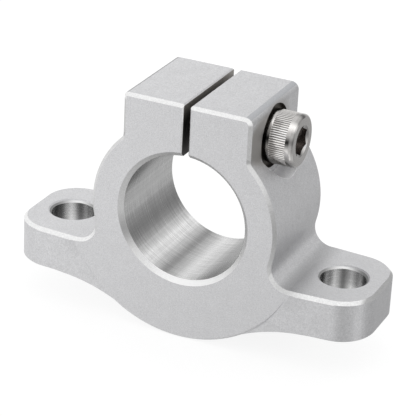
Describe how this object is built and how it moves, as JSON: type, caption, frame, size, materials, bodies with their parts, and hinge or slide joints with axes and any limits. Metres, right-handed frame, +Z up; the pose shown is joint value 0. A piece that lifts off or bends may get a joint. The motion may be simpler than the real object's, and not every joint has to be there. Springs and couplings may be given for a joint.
{
  "type": "shaft support block",
  "caption": "Split-ring block that clamps a round shaft above two mounting ears, tightened by a socket head cap screw.",
  "frame": {"origin": "on the axis of the shaft bore, at mid depth of the block", "axes": "+Y along the bore to the back, +X along the ears to the side of the screw head, +Z up to the split head"},
  "size_m": [0.059, 0.018, 0.038],
  "materials": {
    "blasted_aluminium": "bead blasted, matte, with bright machined edges",
    "plated_steel": "bright plated, knurled head"
  },
  "bodies": {
    "block": {"support_block": "blasted_aluminium"},
    "screw": {"clamp_screw": "plated_steel"}
  },
  "joints": [
    {"name": "clamp_screw_turn", "type": "hinge", "parent": "block", "child": "screw", "pos_m": [0, 0, 0.01275], "axis": [1, 0, 0], "range_deg": [0, 450]}
  ]
}
